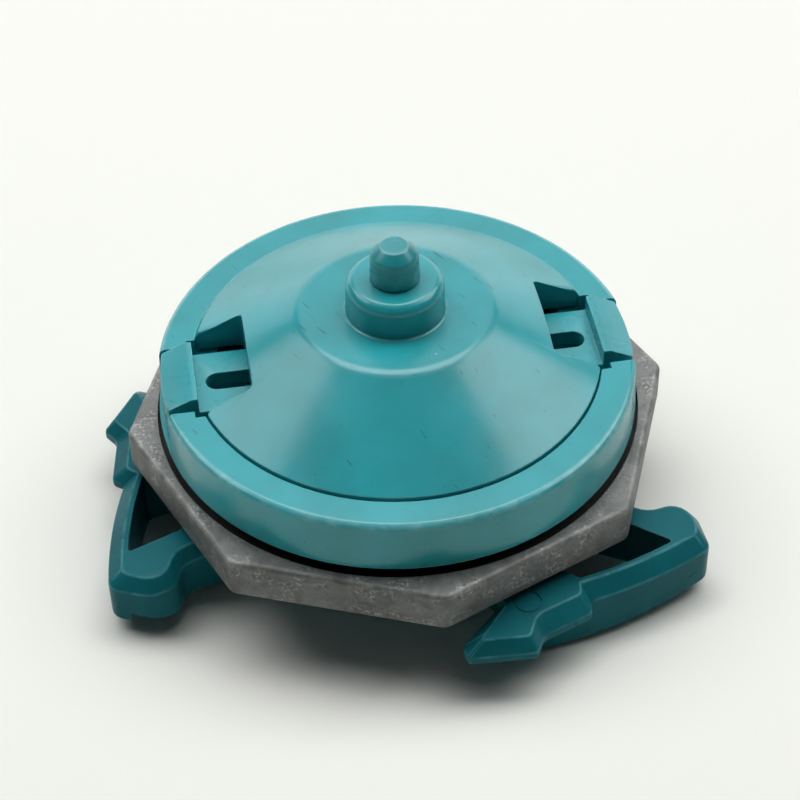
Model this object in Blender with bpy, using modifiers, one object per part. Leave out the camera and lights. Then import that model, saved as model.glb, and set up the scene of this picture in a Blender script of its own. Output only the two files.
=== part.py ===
"""Battling top, lying upside down as it was photographed: driving tip up, chip and attack ring down.

The spin axis is Z and the origin lies on it, on the surface that the top rests on. X runs along the
travel of the two lock tabs. Sizes are in millimetres and become metres where meshes are made.
"""
import math

import bmesh
import bpy
from mathutils import Matrix, Vector

MM = 0.001
GAP = 0.3
BIG = 40.0

# Heights above the surface that the top lies on
TIP_END_Z = 26.7
BOSS_TOP_Z = 23.45
PLATEAU_Z = 20.33
RIM_TOP_Z = 15.4
RIM_BOTTOM_Z = 10.78
DISC_TOP_Z = 10.34
DISC_THICK = 3.68
WING_TOP_Z = 5.95

# Driving tip
TIP_R = 1.98
TIP_FLAT_R = 1.1
TIP_SHANK_R = 1.5
TIP_DRAFT = 0.05

# Cone cap
BOSS_R = 4.02
BOSS_TOP_R = 3.4
BOSS_SHOULDER = ((3.76, 23.2, 0.8), (3.97, 22.5, 1.2))
PLATEAU_R = 7.76
CONE_EDGE_R = 16.35
CONE_EDGE_RISE = 0.18
CONE_SEAT_DEPTH = 1.38
CAP_WALL = 1.35
CAP_CAVITY_R = 11.3
WINDOW_INNER_X = 12.1
WINDOW_HALF_WIDTH = 4.45
WINDOW_CORNER_R = 0.5

# Base rim, its disc seat and its bayonet tube
RIM_TOP_R = 19.02
RIM_FOOT_R = 19.3
RIM_WALL = 1.9
SEAT_R = 18.0
WEB_THICK = 1.56
TUBE_R = 13.0
TUBE_WALL = 1.0
LEDGE_R = 15.0
RIM_GAP_FRONT = 4.05
RIM_GAP_BACK = 3.8
RIM_STEP_X = 16.8
RIM_STEP = 0.75
CLAW_R = 14.1
CLAW_THICK = 1.2
CLAW_HALF_ANGLE = 28.0

# Lock tabs
LOCK_HALF_WIDTH = 3.45
LOCK_INNER_X = 8.95
LOCK_PLATE_DROP = 0.8
LOCK_PLATE_THICK = 1.4
LOCK_HOOK = 0.95
LOCK_TRAVEL = 2.0
PAD_INNER_X = 16.4
PAD_RIDGE = 0.6
PAD_RISE = 0.65
PAD_R = 19.08
PAD_OUTER_DROP = 0.4
PAD_WALL = 1.45
SLOT_HALF_WIDTH = 0.94
SLOT_END_X = 15.6

# Weight disc
DISC_SIDES = 8
DISC_TURN = 0.7
DISC_APOTHEM = 20.7
DISC_CORNER_R = 1.1
DISC_EDGE_R = 0.5
DISC_BORE_R = 13.3
DISC_RECESS_R = 19.8
DISC_RECESS_DEPTH = 1.0
KEY_HALF_WIDTH = 1.2
KEY_DEPTH = 1.3

# Attack ring
WING_COUNT = 3
WING_ANGLE = 81.8
HUB_TOP_Z = 6.3
HUB_TOP_R = 16.4
HUB_FOOT_R = 13.6
HUB_FLOOR_Z = 3.2
HUB_CHANNEL_R = 14.4
BAYONET_HALF_ANGLE = 35.0
CHIP_R = 5.9
CHIP_THICK = 1.9
PRONG_INNER_R = 7.3
PRONG_HALF_ANGLE = 40.0

# One wing, in its own plan: x runs out along the arm, y counterclockwise
WALL_CENTRE = Vector((-7.42, 16.87))
WALL_R = 38.4
WALL_THICK = 1.65
WALL_CHAMFER = 1.0
WALL_TIP_Y = 1.82
WALL_ROOT_Y = -11.2
WALL_TIP_Z = 1.34
WALL_SLOPE = 0.16
ARM_UNDERSIDE_X = 25.0
ARM_UNDERSIDE_Z = 1.95
WING_END = ((25.4, 4.4), (23.2, 4.5))
ARM_INNER_CORNER = (21.7, 2.7, 1.5)
WING_ROOT = ((15.0, 2.7), (15.2, -3.0), (12.6, -8.6))
CHAMFER_OUT = 0.8
CHAMFER_DROP = 1.2
BLOCK_BOTTOM_Z = 4.0
BLOCK_CORNERS = ((15.7, -18.1), (20.6, -14.6), (20.2, -12.9), (22.5, -8.95))
BLOCK_FOOT_ROUNDS = (0.5, 0.45, 1.4, 0.45)
BLOCK_TOP_ROUNDS = (0.2, 0.15, 1.4, 0.15)
BLOCK_ROOT = ((21.4, -7.2), (13.5, -7.5), (11.6, -10.0), (15.8, -11.8))
HOLE_ARM_Y = 0.05
HOLE_ROOT_Y = -7.05
HOLE_HUB_R = 16.7

# Spin gear
GEAR_R = 7.1
GEAR_FLANGE_R = 10.4
GEAR_FLANGE_THICK = 1.2
GEAR_HOOK_R = 11.6
GEAR_HOOK_THICK = 1.5
GEAR_HOOK_Z = 4.6
GEAR_FOOT_Z = 3.6
GEAR_CORE_R = 4.6
CORE_POST_R = 3.0
CORE_POST_RISE = 2.5
CORE_SOCKET_R = 1.75

# Facets round a full turn
RIM_STEPS = 64
TUBE_STEPS = 40
TIP_STEPS = 32
ARC_STEPS = 6
CORNER_STEPS = 3

# Colours from the photo
TEAL = "2A9DA3"
DEEP_TEAL = "1F7F86"
ZINC = "7E7E7C"
OFF_WHITE = "D9D8D2"
GREY = "8D9294"


def clear_scene():
    for obj in list(bpy.data.objects):
        bpy.data.objects.remove(obj, do_unlink=True)


def new_collection(name):
    collection = bpy.data.collections.new(name)
    bpy.context.scene.collection.children.link(collection)
    return collection


def linear(value):
    if value <= 0.04045:
        return value / 12.92
    return ((value + 0.055) / 1.055) ** 2.4


def new_material(name, colour, roughness, metallic):
    material = bpy.data.materials.new(name)
    material.use_nodes = True
    shader = material.node_tree.nodes["Principled BSDF"]
    channels = [linear(int(colour[i:i + 2], 16) / 255) for i in (0, 2, 4)]
    shader.inputs["Base Color"].default_value = (*channels, 1.0)
    shader.inputs["Roughness"].default_value = roughness
    shader.inputs["Metallic"].default_value = metallic
    return material


def rounded(points, closed=True):
    """Replace each corner (a, b, radius) by an arc; corners without a radius stay sharp."""
    result = []
    count = len(points)
    for i, point in enumerate(points):
        corner = Vector(point[:2])
        radius = point[2] if len(point) > 2 else 0.0
        if radius == 0.0 or (not closed and i in (0, count - 1)):
            result.append(corner)
            continue
        before = (Vector(points[i - 1][:2]) - corner).normalized()
        after = (Vector(points[(i + 1) % count][:2]) - corner).normalized()
        half = before.angle(after) / 2
        centre = corner + (before + after).normalized() * radius / math.sin(half)
        reach = radius / math.tan(half)
        start = corner + before * reach - centre
        end = corner + after * reach - centre
        turn = start.angle_signed(end)
        for step in range(CORNER_STEPS + 1):
            spin = Matrix.Rotation(-turn * step / CORNER_STEPS, 2)
            result.append(centre + spin @ start)
    return result


def with_rounds(corners, radii):
    """Round the first corners of an outline, each by its own radius."""
    sharp = [0.0] * (len(corners) - len(radii))
    return rounded([(*corner, radius) for corner, radius in zip(corners, [*radii, *sharp])])


def arc(centre, radius, start, end, steps):
    """Points on a circle from one angle to another, in degrees, ends included."""
    points = []
    for step in range(steps + 1):
        angle = math.radians(start + (end - start) * step / steps)
        points.append(Vector(centre) + radius * Vector((math.cos(angle), math.sin(angle))))
    return points


def object_from_bmesh(name, bm, collection):
    bmesh.ops.scale(bm, vec=(MM, MM, MM), verts=bm.verts)
    mesh = bpy.data.meshes.new(name)
    bm.to_mesh(mesh)
    bm.free()
    obj = bpy.data.objects.new(name, mesh)
    collection.objects.link(obj)
    return obj


def as_cutter(obj):
    obj.hide_render = True
    obj.display_type = "WIRE"
    return obj


def lathe(name, profile, steps, collection, closed=True):
    """Turn a profile of (radius, height) about Z. Its outer side runs from top to bottom."""
    bm = bmesh.new()
    verts = [bm.verts.new((point[0], 0.0, point[1])) for point in rounded(profile, closed)]
    for first, second in zip(verts, verts[1:]):
        bm.edges.new((first, second))
    if closed:
        bm.edges.new((verts[-1], verts[0]))
    obj = object_from_bmesh(name, bm, collection)
    screw = obj.modifiers.new("turn", "SCREW")
    screw.axis = "Z"
    screw.steps = steps
    screw.render_steps = steps
    screw.use_merge_vertices = True
    screw.merge_threshold = 0.000001
    return obj


def inset_outline(outline, insets):
    """Move each edge of a counterclockwise outline inward by its own inset; edge i follows point i."""
    result = []
    count = len(outline)
    for i, corner in enumerate(outline):
        before = (corner - outline[i - 1]).normalized()
        after = (outline[(i + 1) % count] - corner).normalized()
        first = corner + Vector((-before.y, before.x)) * insets[i - 1]
        second = corner + Vector((-after.y, after.x)) * insets[i]
        turn = before.cross(after)
        if abs(turn) < 0.001:
            result.append((first + second) / 2)
        else:
            result.append(first + before * (second - first).cross(after) / turn)
    return result


def prism(name, outline, low, high, collection, top=None, drop=0.0):
    """Raise an outline from low to high; a top outline slopes it in over the last drop in height."""
    bm = bmesh.new()
    face = bm.faces.new([bm.verts.new((point[0], point[1], low)) for point in outline])
    levels = [(high - drop, outline)]
    if top:
        levels.append((high, top))
    for height, corners in levels:
        made = bmesh.ops.extrude_face_region(bm, geom=[face], use_keep_orig=True)["geom"]
        if height == high and top:
            bmesh.ops.delete(bm, geom=[face], context="FACES_ONLY")
        face = next(item for item in made if isinstance(item, bmesh.types.BMFace))
        for vert, corner in zip(face.verts, corners):
            vert.co = (corner[0], corner[1], height)
    bmesh.ops.recalc_face_normals(bm, faces=bm.faces)
    return object_from_bmesh(name, bm, collection)


def block(name, low, high, collection):
    """Box between two corners."""
    outline = [(low[0], low[1]), (high[0], low[1]), (high[0], high[1]), (low[0], high[1])]
    return prism(name, outline, low[2], high[2], collection)


def sector(name, inner, outer, middle, half_angle, low, high, collection):
    """Ring sector round Z between two radii, centred on an angle in degrees."""
    outline = arc((0, 0), outer, middle - half_angle, middle + half_angle, ARC_STEPS * 2)
    outline += arc((0, 0), inner, middle + half_angle, middle - half_angle, ARC_STEPS * 2)
    return prism(name, outline, low, high, collection)


def turned(obj, degrees):
    obj.rotation_euler = (0.0, 0.0, math.radians(degrees))
    return obj


def combine(obj, other, operation):
    as_cutter(other)
    modifier = obj.modifiers.new(other.name, "BOOLEAN")
    modifier.operation = operation
    modifier.solver = "EXACT"
    modifier.object = other


def settle(obj, material, parent):
    """Bake the modifiers, weld the mesh, shade it smooth with sharp edges and give it its finish."""
    bpy.context.view_layer.update()
    graph = bpy.context.evaluated_depsgraph_get()
    mesh = bpy.data.meshes.new_from_object(obj.evaluated_get(graph))
    obj.modifiers.clear()
    bm = bmesh.new()
    bm.from_mesh(mesh)
    bmesh.ops.remove_doubles(bm, verts=bm.verts, dist=0.000002)
    bmesh.ops.dissolve_degenerate(bm, edges=bm.edges, dist=0.000002)
    bm.to_mesh(mesh)
    bm.free()
    mesh.shade_smooth()
    mesh.set_sharp_from_angle(angle=math.radians(32))
    mesh.materials.clear()
    mesh.materials.append(material)
    obj.data = mesh
    obj.parent = parent


def make_tip_pin(parts):
    shoulder = BOSS_TOP_Z + GAP / 3
    chamfer = TIP_R - TIP_DRAFT - TIP_FLAT_R
    shank_end = PLATEAU_Z - CAP_WALL - 6.0
    profile = [
        (0.0, TIP_END_Z),
        (TIP_FLAT_R, TIP_END_Z, 0.3),
        (TIP_R - TIP_DRAFT, TIP_END_Z - chamfer, 0.7),
        (TIP_R, shoulder),
        (TIP_SHANK_R, shoulder),
        (TIP_SHANK_R, shank_end),
        (0.0, shank_end),
    ]
    return lathe("tip_pin", profile, TIP_STEPS, parts, closed=False)


def cone_height(radius):
    edge = RIM_TOP_Z + CONE_EDGE_RISE
    return edge + (PLATEAU_Z - edge) * (CONE_EDGE_R - radius) / (CONE_EDGE_R - PLATEAU_R)


def lock_plate_top():
    return RIM_TOP_Z - LOCK_PLATE_DROP


def make_cone_cap(parts, cutters):
    bore = TIP_SHANK_R + GAP
    edge = RIM_TOP_Z + CONE_EDGE_RISE
    skirt = edge - CONE_SEAT_DEPTH
    profile = [
        (bore, BOSS_TOP_Z),
        (BOSS_TOP_R, BOSS_TOP_Z),
        *BOSS_SHOULDER,
        (BOSS_R, PLATEAU_Z, 0.2),
        (PLATEAU_R, PLATEAU_Z, 0.6),
        (CONE_EDGE_R, edge),
        (CONE_EDGE_R, skirt),
        (CAP_CAVITY_R, skirt),
        (CAP_CAVITY_R, cone_height(CAP_CAVITY_R) - CAP_WALL),
        (PLATEAU_R, PLATEAU_Z - CAP_WALL),
        (bore, PLATEAU_Z - CAP_WALL),
    ]
    cap = lathe("cone_cap", profile, RIM_STEPS, parts)
    window = [
        (WINDOW_INNER_X, WINDOW_HALF_WIDTH, WINDOW_CORNER_R),
        (WINDOW_INNER_X, -WINDOW_HALF_WIDTH, WINDOW_CORNER_R),
        (BIG, -WINDOW_HALF_WIDTH),
        (BIG, WINDOW_HALF_WIDTH),
    ]
    for side, angle in (("right", 0), ("left", 180)):
        cutter = prism(f"window_{side}", rounded(window), edge - 2.0, BIG, cutters)
        combine(cap, turned(cutter, angle), "DIFFERENCE")
        low = (CAP_CAVITY_R - 1.0, -LOCK_HALF_WIDTH - GAP, edge - 2.0)
        high = (WINDOW_INNER_X + 1.0, LOCK_HALF_WIDTH + GAP, lock_plate_top() + GAP)
        channel = block(f"plate_channel_{side}", low, high, cutters)
        combine(cap, turned(channel, angle), "DIFFERENCE")
    return cap


def seat_z():
    return DISC_TOP_Z - DISC_RECESS_DEPTH + GAP


def make_base_rim(parts, cutters):
    web_top = seat_z() + WEB_THICK
    ledge = RIM_TOP_Z + CONE_EDGE_RISE - CONE_SEAT_DEPTH - GAP
    inner = CONE_EDGE_R + GAP
    wall = RIM_FOOT_R - RIM_WALL
    foot = HUB_FLOOR_Z + 0.4
    profile = [
        (inner, RIM_TOP_Z, 0.15),
        (RIM_TOP_R, RIM_TOP_Z, 0.5),
        (RIM_FOOT_R, RIM_BOTTOM_Z, 0.3),
        (SEAT_R, RIM_BOTTOM_Z),
        (SEAT_R, seat_z()),
        (TUBE_R, seat_z()),
        (TUBE_R, foot),
        (TUBE_R - TUBE_WALL, foot),
        (TUBE_R - TUBE_WALL, web_top),
        (wall, web_top),
        (wall, ledge - 1.5),
        (LEDGE_R, ledge - 1.0),
        (LEDGE_R, ledge),
        (inner, ledge),
    ]
    rim = lathe("base_rim", profile, RIM_STEPS, parts)
    rail_top = lock_plate_top() - LOCK_PLATE_THICK - GAP
    rail_start = LOCK_INNER_X + LOCK_HOOK + LOCK_TRAVEL + GAP
    for side, angle, out in (("right", 0, 1), ("left", 180, -1)):
        reach = sorted((out * (LEDGE_R - 0.6), out * BIG))
        low = (reach[0], -RIM_GAP_FRONT, web_top + GAP)
        gap = block(f"rim_gap_{side}", low, (reach[1], RIM_GAP_BACK, BIG), cutters)
        reach = sorted((out * (LEDGE_R - 0.6), out * RIM_STEP_X))
        low = (reach[0], -RIM_GAP_FRONT - RIM_STEP, ledge - 1.6)
        step = block(f"rim_step_{side}", low, (reach[1], RIM_GAP_BACK + RIM_STEP, BIG), cutters)
        for cut in (gap, step):
            combine(rim, cut, "DIFFERENCE")
        claw = sector(f"claw_{side}", TUBE_R - TUBE_WALL / 2, CLAW_R, angle, CLAW_HALF_ANGLE,
                      foot + 0.01, foot + CLAW_THICK, cutters)
        combine(rim, claw, "UNION")
        for edge, sign in (("near", -1), ("far", 1)):
            across = sorted((sign * 1.5, sign * (LOCK_HALF_WIDTH - GAP)))
            rail = block(f"rail_{side}_{edge}", (rail_start, across[0], web_top - 0.5),
                         (PAD_INNER_X, across[1], rail_top), cutters)
            combine(rim, turned(rail, angle), "UNION")
    key_low = HUB_TOP_Z + 2 * GAP
    for side, angle in (("front", 270), ("rear", 90)):
        low = (TUBE_R - TUBE_WALL / 2, -KEY_HALF_WIDTH, key_low)
        key = block(f"key_{side}", low, (TUBE_R + KEY_DEPTH, KEY_HALF_WIDTH, seat_z() + 0.5), cutters)
        combine(rim, turned(key, angle), "UNION")
    return rim


def make_lock_tab(side, angle, parts, cutters):
    top = lock_plate_top()
    low = top - LOCK_PLATE_THICK
    hook_low = low - 1.2
    ridge = RIM_TOP_Z + PAD_RISE
    pad_low = seat_z() + WEB_THICK + 2 * GAP
    pad_inner = PAD_R - PAD_WALL
    outer = PAD_R + 0.8
    slope = (ridge - RIM_TOP_Z + PAD_OUTER_DROP) / (PAD_R - PAD_INNER_X - PAD_RIDGE)
    outline = [
        (LOCK_INNER_X, hook_low),
        (LOCK_INNER_X + LOCK_HOOK, hook_low),
        (LOCK_INNER_X + LOCK_HOOK, low),
        (pad_inner, low),
        (pad_inner, pad_low),
        (outer, pad_low),
        (outer, RIM_TOP_Z - PAD_OUTER_DROP - slope * (outer - PAD_R)),
        (PAD_INNER_X + PAD_RIDGE, ridge),
        (PAD_INNER_X, ridge, 0.12),
        (PAD_INNER_X, top),
        (LOCK_INNER_X, top),
    ]
    lock = prism(f"lock_tab_{side}", rounded(outline), -LOCK_HALF_WIDTH, LOCK_HALF_WIDTH, parts)
    upright = Matrix.Rotation(math.radians(90), 4, "X")
    lock.data.transform(upright)
    round_face = lathe(f"pad_face_{side}", [(0.0, BIG), (PAD_R, BIG), (PAD_R, 0.0), (0.0, 0.0)],
                       RIM_STEPS, cutters, closed=False)
    combine(lock, round_face, "INTERSECT")
    slot = [(0.0, -SLOT_HALF_WIDTH)]
    slot += arc((SLOT_END_X - SLOT_HALF_WIDTH, 0), SLOT_HALF_WIDTH, -90, 90, ARC_STEPS)
    slot.append((0.0, SLOT_HALF_WIDTH))
    fork = prism(f"slot_{side}", slot, hook_low - 1.0, top + 1.0, cutters)
    combine(lock, turned(fork, angle), "DIFFERENCE")
    return turned(lock, angle)


def make_weight_disc(parts, cutters):
    corner = DISC_APOTHEM / math.cos(math.pi / DISC_SIDES)
    outline = []
    for side in range(DISC_SIDES):
        angle = math.radians(DISC_TURN + 360.0 * side / DISC_SIDES)
        outline.append((corner * math.cos(angle), corner * math.sin(angle), DISC_CORNER_R))
    low = DISC_TOP_Z - DISC_THICK
    disc = prism("weight_disc", rounded(outline), low, DISC_TOP_Z, parts)
    edges = disc.modifiers.new("cast_edges", "BEVEL")
    edges.width = DISC_EDGE_R * MM
    edges.segments = 2
    edges.limit_method = "ANGLE"
    edges.angle_limit = math.radians(60)
    recess_z = DISC_TOP_Z - DISC_RECESS_DEPTH
    bore = [(0.0, BIG), (DISC_RECESS_R, BIG), (DISC_RECESS_R, recess_z), (DISC_BORE_R, recess_z),
            (DISC_BORE_R, 0.0), (0.0, 0.0)]
    combine(disc, lathe("disc_bore", bore, RIM_STEPS, cutters, closed=False), "DIFFERENCE")
    for side, angle in (("front", 270), ("rear", 90)):
        low_corner = (DISC_BORE_R - 1.0, -KEY_HALF_WIDTH - GAP, 0.0)
        high_corner = (TUBE_R + KEY_DEPTH + GAP, KEY_HALF_WIDTH + GAP, BIG)
        notch = block(f"disc_notch_{side}", low_corner, high_corner, cutters)
        combine(disc, turned(notch, angle), "DIFFERENCE")
    return disc


def wall_point(across, inset=0.0):
    """Point on the wing's curved wall, or inset from it, at a distance across the arm."""
    radius = WALL_R - inset
    return Vector((WALL_CENTRE.x + math.sqrt(radius ** 2 - (across - WALL_CENTRE.y) ** 2), across))


def wall_arc(start_y, end_y, inset=0.0, steps=ARC_STEPS * 2):
    angles = []
    for across in (start_y, end_y):
        offset = wall_point(across, inset) - WALL_CENTRE
        angles.append(math.degrees(math.atan2(offset.y, offset.x)))
    return arc(WALL_CENTRE, WALL_R - inset, angles[0], angles[1], steps)


def make_wing(index, cutters):
    """The two solids that make one wing: the bar and arm round its hole, and the hooked block."""
    angle = WING_ANGLE + 360.0 / WING_COUNT * index
    arm = rounded([*WING_END, ARM_INNER_CORNER, WING_ROOT[0]], closed=False)
    wall = wall_arc(WALL_ROOT_Y, WALL_TIP_Y)
    outline = arm + [Vector(point) for point in WING_ROOT[1:]] + wall
    insets = [CHAMFER_OUT] * (len(arm) - 1) + [0.0] * len(WING_ROOT)
    insets += [WALL_CHAMFER] * (len(wall) - 1) + [CHAMFER_OUT]
    top = inset_outline(outline, insets)
    bar = prism(f"wing_bar_{index}", outline, 0.0, WING_TOP_Z, cutters, top, CHAMFER_DROP)
    for vert in bar.data.vertices:
        if vert.co.z < MM * BLOCK_BOTTOM_Z / 2:
            reach = vert.co.xy.length / MM - wall_point(WALL_TIP_Y).length
            vert.co.z = MM * max(0.2, WALL_TIP_Z + WALL_SLOPE * reach)
    hook = [Vector(point) for point in (*BLOCK_CORNERS, *BLOCK_ROOT)]
    insets = [CHAMFER_OUT] * len(BLOCK_CORNERS) + [0.0] * (len(BLOCK_ROOT) - 1) + [CHAMFER_OUT]
    foot = with_rounds(hook, BLOCK_FOOT_ROUNDS)
    top = with_rounds(inset_outline(hook, insets), BLOCK_TOP_ROUNDS)
    claw = prism(f"wing_block_{index}", foot, BLOCK_BOTTOM_Z, WING_TOP_Z, cutters, top, CHAMFER_DROP)
    hole = arc((0, 0), HOLE_HUB_R, -25.0, 0.2, ARC_STEPS)
    hole.append(Vector((wall_point(HOLE_ARM_Y, WALL_THICK).x, HOLE_ARM_Y)))
    hole += wall_arc(HOLE_ARM_Y - 0.3, HOLE_ROOT_Y, WALL_THICK)
    opening = prism(f"wing_hole_{index}", hole, -5.0, BIG, cutters)
    under = [(HOLE_HUB_R, -0.3)] + wall_arc(-0.3, 5.6, WALL_THICK - 0.2) + [(HOLE_HUB_R, 5.6)]
    underside = prism(f"arm_underside_{index}", under, -5.0, ARM_UNDERSIDE_Z, cutters)
    for vert in underside.data.vertices:
        if vert.co.z > 0.0:
            vert.co.z += WALL_SLOPE * (vert.co.x - MM * ARM_UNDERSIDE_X)
    for cut in (opening, underside):
        combine(bar, turned(cut, angle), "DIFFERENCE")
    return turned(bar, angle), turned(claw, angle)


def make_attack_ring(parts, cutters):
    recess = CHIP_R + GAP
    profile = [
        (0.0, HUB_FLOOR_Z),
        (HUB_CHANNEL_R, HUB_FLOOR_Z),
        (HUB_CHANNEL_R, HUB_TOP_Z),
        (HUB_TOP_R, HUB_TOP_Z, 0.3),
        (HUB_FOOT_R, 0.0, 0.6),
        (recess, 0.0, 0.2),
        (recess, CHIP_THICK + GAP),
        (0.0, CHIP_THICK + GAP),
    ]
    ring = lathe("attack_ring", profile, RIM_STEPS, parts, closed=False)
    additions = []
    for index in range(WING_COUNT):
        additions += make_wing(index, cutters)
    ledge_low = HUB_FLOOR_Z + 0.4 + CLAW_THICK + GAP
    for side, angle in (("right", 0), ("left", 180)):
        ledge = sector(f"ledge_{side}", TUBE_R + GAP, HUB_CHANNEL_R + 0.8, angle, BAYONET_HALF_ANGLE,
                       ledge_low, HUB_TOP_Z - 0.1, cutters)
        additions.append(ledge)
    for addition in additions:
        combine(ring, addition, "UNION")
    for side, angle in (("front", 270), ("rear", 90)):
        socket = sector(f"prong_socket_{side}", PRONG_INNER_R, TUBE_R - TUBE_WALL, angle,
                        PRONG_HALF_ANGLE, -5.0, HUB_FLOOR_Z + 1.0, cutters)
        combine(ring, socket, "DIFFERENCE")
    return ring


def make_centre_chip(parts):
    profile = [
        (0.0, CHIP_THICK),
        (CHIP_R, CHIP_THICK, 0.3),
        (CHIP_R, 0.0, 0.5),
        (0.0, 0.0),
    ]
    return lathe("centre_chip", profile, TUBE_STEPS, parts, closed=False)


def gear_top():
    return lock_plate_top() + GAP + GEAR_FLANGE_THICK


def make_gear_case(side, angle, parts, cutters):
    """Half of the spin gear's case: flange for the locks on top, hooks for the launcher at the foot."""
    inner = GEAR_CORE_R + GAP
    hook_top = GEAR_HOOK_Z + GEAR_HOOK_THICK
    profile = [
        (inner, gear_top()),
        (GEAR_FLANGE_R, gear_top()),
        (GEAR_FLANGE_R, gear_top() - GEAR_FLANGE_THICK),
        (GEAR_R, gear_top() - GEAR_FLANGE_THICK),
        (GEAR_R, hook_top),
        (GEAR_HOOK_R, hook_top),
        (GEAR_HOOK_R, GEAR_HOOK_Z),
        (GEAR_R, GEAR_HOOK_Z),
        (GEAR_R, GEAR_FOOT_Z),
        (inner, GEAR_FOOT_Z),
    ]
    case = lathe(f"gear_case_{side}", profile, TUBE_STEPS, parts)
    split = block(f"gear_split_{side}", (-BIG, -BIG, 0.0), (BIG, GAP / 2, BIG), cutters)
    trim = block(f"gear_trim_{side}", (-BIG, PRONG_INNER_R, GEAR_HOOK_Z - 0.4),
                 (BIG, BIG, hook_top + 0.4), cutters)
    for cutter in (split, trim):
        combine(case, turned(cutter, angle), "DIFFERENCE")
    return case


def make_gear_core(parts):
    socket_z = PLATEAU_Z - CAP_WALL - 6.0 - GAP
    post_top = gear_top() + CORE_POST_RISE
    profile = [
        (0.0, socket_z),
        (CORE_SOCKET_R, socket_z),
        (CORE_SOCKET_R, post_top),
        (CORE_POST_R, post_top, 0.4),
        (CORE_POST_R, gear_top()),
        (GEAR_CORE_R, gear_top()),
        (GEAR_CORE_R, GEAR_FOOT_Z, 0.4),
        (0.0, GEAR_FOOT_Z),
    ]
    return lathe("gear_core", profile, TUBE_STEPS, parts, closed=False)


def main():
    clear_scene()
    parts = new_collection("battling_top")
    cutters = new_collection("battling_top_cutters")
    frame = bpy.data.objects.new("spin_axis", None)
    parts.objects.link(frame)
    pieces = [
        (make_tip_pin(parts), TEAL, 0.42, 0.0),
        (make_cone_cap(parts, cutters), TEAL, 0.34, 0.0),
        (make_base_rim(parts, cutters), TEAL, 0.34, 0.0),
        (make_lock_tab("right", 0, parts, cutters), TEAL, 0.36, 0.0),
        (make_lock_tab("left", 180, parts, cutters), TEAL, 0.36, 0.0),
        (make_weight_disc(parts, cutters), ZINC, 0.5, 1.0),
        (make_attack_ring(parts, cutters), DEEP_TEAL, 0.36, 0.0),
        (make_centre_chip(parts), OFF_WHITE, 0.4, 0.0),
        (make_gear_case("rear", 0, parts, cutters), GREY, 0.45, 0.0),
        (make_gear_case("front", 180, parts, cutters), GREY, 0.45, 0.0),
        (make_gear_core(parts), GREY, 0.45, 0.0),
    ]
    for obj, colour, roughness, metallic in pieces:
        settle(obj, new_material(f"{obj.name}_finish", colour, roughness, metallic), frame)


main()
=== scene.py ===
"""Looks of the battling top: glossy moulded teal plastic round a dull cast-zinc disc, on a pale floor.

The top lies upside down, as photographed. Lengths are in millimetres while a piece is modelled, and its
mesh is scaled to metres, in the frame's own axes, when it is finished.
"""
import math

import bmesh
import bpy
from mathutils import Matrix, Vector
from mathutils.kdtree import KDTree


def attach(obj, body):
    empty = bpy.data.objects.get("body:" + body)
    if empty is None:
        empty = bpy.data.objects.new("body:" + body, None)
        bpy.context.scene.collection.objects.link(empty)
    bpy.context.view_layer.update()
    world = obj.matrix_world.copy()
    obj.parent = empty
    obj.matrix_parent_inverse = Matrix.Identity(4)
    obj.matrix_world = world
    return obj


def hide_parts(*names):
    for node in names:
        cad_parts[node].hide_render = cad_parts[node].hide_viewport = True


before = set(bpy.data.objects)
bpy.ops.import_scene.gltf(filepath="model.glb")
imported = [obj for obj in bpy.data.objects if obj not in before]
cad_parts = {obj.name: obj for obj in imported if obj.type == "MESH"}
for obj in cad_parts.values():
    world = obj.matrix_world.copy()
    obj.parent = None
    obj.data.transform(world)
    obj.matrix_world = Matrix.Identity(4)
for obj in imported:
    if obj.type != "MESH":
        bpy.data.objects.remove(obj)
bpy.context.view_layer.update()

MM = 0.001
FAR = 60.0
FULL_TURN = 2 * math.pi
SPIN_MERGE = 0.0005
CARVE_MERGE = 0.002
PIECE_MERGE = 0.004
SMOOTH_BELOW = 38.0
PALE_EDGE_ROUND_MAX = 0.6

# Heights above the floor
TIP_END_Z = 26.7
BOSS_TOP_Z = 23.45
PLATEAU_Z = 20.33
RIM_TOP_Z = 15.4
RIM_BOTTOM_Z = 10.78
DISC_TOP_Z = 10.34
DISC_BOTTOM_Z = 6.66
HUB_TOP_Z = 6.3
WING_TOP_Z = 5.95
PLATE_TOP_Z = 14.6
WEB_TOP_Z = 11.2

# Driving tip and cone
TIP_R = 1.98
TIP_FLAT_R = 1.12
TIP_CHAMFER = 0.84
TIP_TAPER = 0.05
TIP_FOOT_GAP = 0.1
SHANK_R = 1.5
SHANK_END_Z = 13.0
SHANK_BORE_R = 1.8
BOSS_R = 4.02
BOSS_TOP_R = 3.46
BOSS_SHOULDER = [(3.92, 22.85, 1.0)]
PLATEAU_R = 7.76
CONE_EDGE_R = 16.55
CONE_EDGE_Z = 15.62
CONE_BOTTOM_Z = 14.2
CAVITY_R = 11.3
CAVITY_EDGE_Z = 16.85
CAVITY_TOP_Z = 18.98
WINDOW_INNER_X = 12.1
WINDOW_HALF_WIDTH = 4.45
WINDOW_CORNER_R = 0.5
WINDOW_FLARE_X = 15.4
WINDOW_FLARE = 0.6
WINDOW_FLARE_R = 0.8
WINDOW_CUT_Z = 13.0
CHANNEL_HALF_WIDTH = 3.75
CHANNEL_TOP_Z = 14.9

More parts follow.
